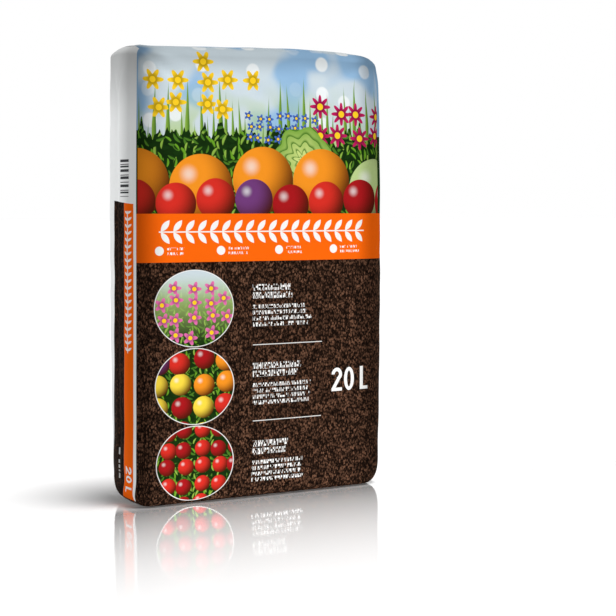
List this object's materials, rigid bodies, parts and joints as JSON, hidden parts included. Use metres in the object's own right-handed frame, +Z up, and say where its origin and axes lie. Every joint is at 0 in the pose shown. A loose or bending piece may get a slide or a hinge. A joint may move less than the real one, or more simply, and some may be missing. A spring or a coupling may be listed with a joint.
{
  "type": "compost bag",
  "caption": "Sealed plump plastic film bag of potting compost standing upright on its flat base, with rounded edges, folded side gussets and a welded fin along the top.",
  "frame": {"origin": "centre of the bounding box at the bottom, on the flat base the bag stands on", "axes": "+Z up along the bag's height, front panel towards -Y, gusseted sides towards -X and +X"},
  "size_m": [0.3682, 0.105, 0.5822],
  "materials": {
    "film": "printed polyethylene film, satin, dark brown lower field with an orange band and a pale upper field"
  },
  "bodies": {
    "root": {"compost_bag": "film"}
  },
  "joints": []
}
